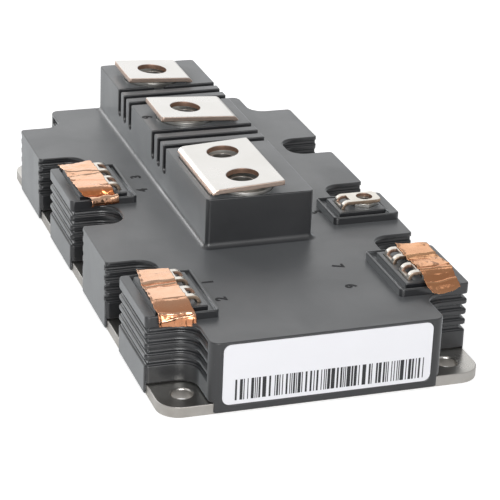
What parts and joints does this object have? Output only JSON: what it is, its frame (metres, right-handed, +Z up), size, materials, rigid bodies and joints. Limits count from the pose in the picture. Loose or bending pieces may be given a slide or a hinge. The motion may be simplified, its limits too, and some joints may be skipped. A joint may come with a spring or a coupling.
{
  "type": "half-bridge power semiconductor module",
  "caption": "Flat power semiconductor module: ribbed plastic housing on a metal base plate, raised ridge with bolted power terminals, and small screw tabs at its sides.",
  "frame": {"origin": "centre of the heat-sink face on the base plate's underside", "axes": "+X across the module, +Y along it away from the label end, +Z up from the heat-sink face to the terminals"},
  "size_m": [0.089, 0.172, 0.038],
  "materials": {
    "nickel_plate": "nickel plating on copper, bright and smooth",
    "nickel_terminal": "nickel plating on copper, satin",
    "nut_steel": "zinc plating, satin",
    "housing": "moulded, fine matt grain",
    "adhesive": "cured silicone",
    "insulation": "smooth sheet",
    "sensor": "glazed",
    "gel": "clear soft silicone",
    "label": "satin printed film",
    "copper_foil": "bright rolled copper",
    "ceramic": "as fired",
    "copper_track": "bare copper",
    "silicon": "metallised, smooth",
    "wire": "drawn"
  },
  "bodies": {
    "root": {"baseplate": "nickel_plate", "housing": "housing", "adhesive_bead": "adhesive", "output_terminal": "nickel_terminal", "negative_terminal": "nickel_terminal", "positive_terminal": "nickel_terminal", "insulating_sheet": "insulation", "terminal_nuts": "nut_steel", "auxiliary_nuts": "nut_steel", "temperature_sensor": "sensor", "silicone_gel": "gel", "label": "label", "shorting_foil_front": "copper_foil", "shorting_foil_left": "copper_foil", "shorting_foil_right": "copper_foil", "ceramic_substrate_1": "ceramic", "ceramic_substrate_2": "ceramic", "ceramic_substrate_3": "ceramic", "ceramic_substrate_4": "ceramic", "copper_tracks_1": "copper_track", "copper_tracks_2": "copper_track", "copper_tracks_3": "copper_track", "copper_tracks_4": "copper_track", "transistor_dies_1": "silicon", "transistor_dies_2": "silicon", "transistor_dies_3": "silicon", "transistor_dies_4": "silicon", "diode_dies_1": "silicon", "diode_dies_2": "silicon", "diode_dies_3": "silicon", "diode_dies_4": "silicon", "bond_wires_1": "wire", "bond_wires_2": "wire", "bond_wires_3": "wire", "bond_wires_4": "wire", "auxiliary_tab_1": "nickel_terminal", "auxiliary_tab_2": "nickel_terminal", "auxiliary_tab_3": "nickel_terminal", "auxiliary_tab_4": "nickel_terminal", "auxiliary_tab_5": "nickel_terminal", "auxiliary_tab_6": "nickel_terminal", "auxiliary_tab_7": "nickel_terminal"}
  },
  "joints": []
}
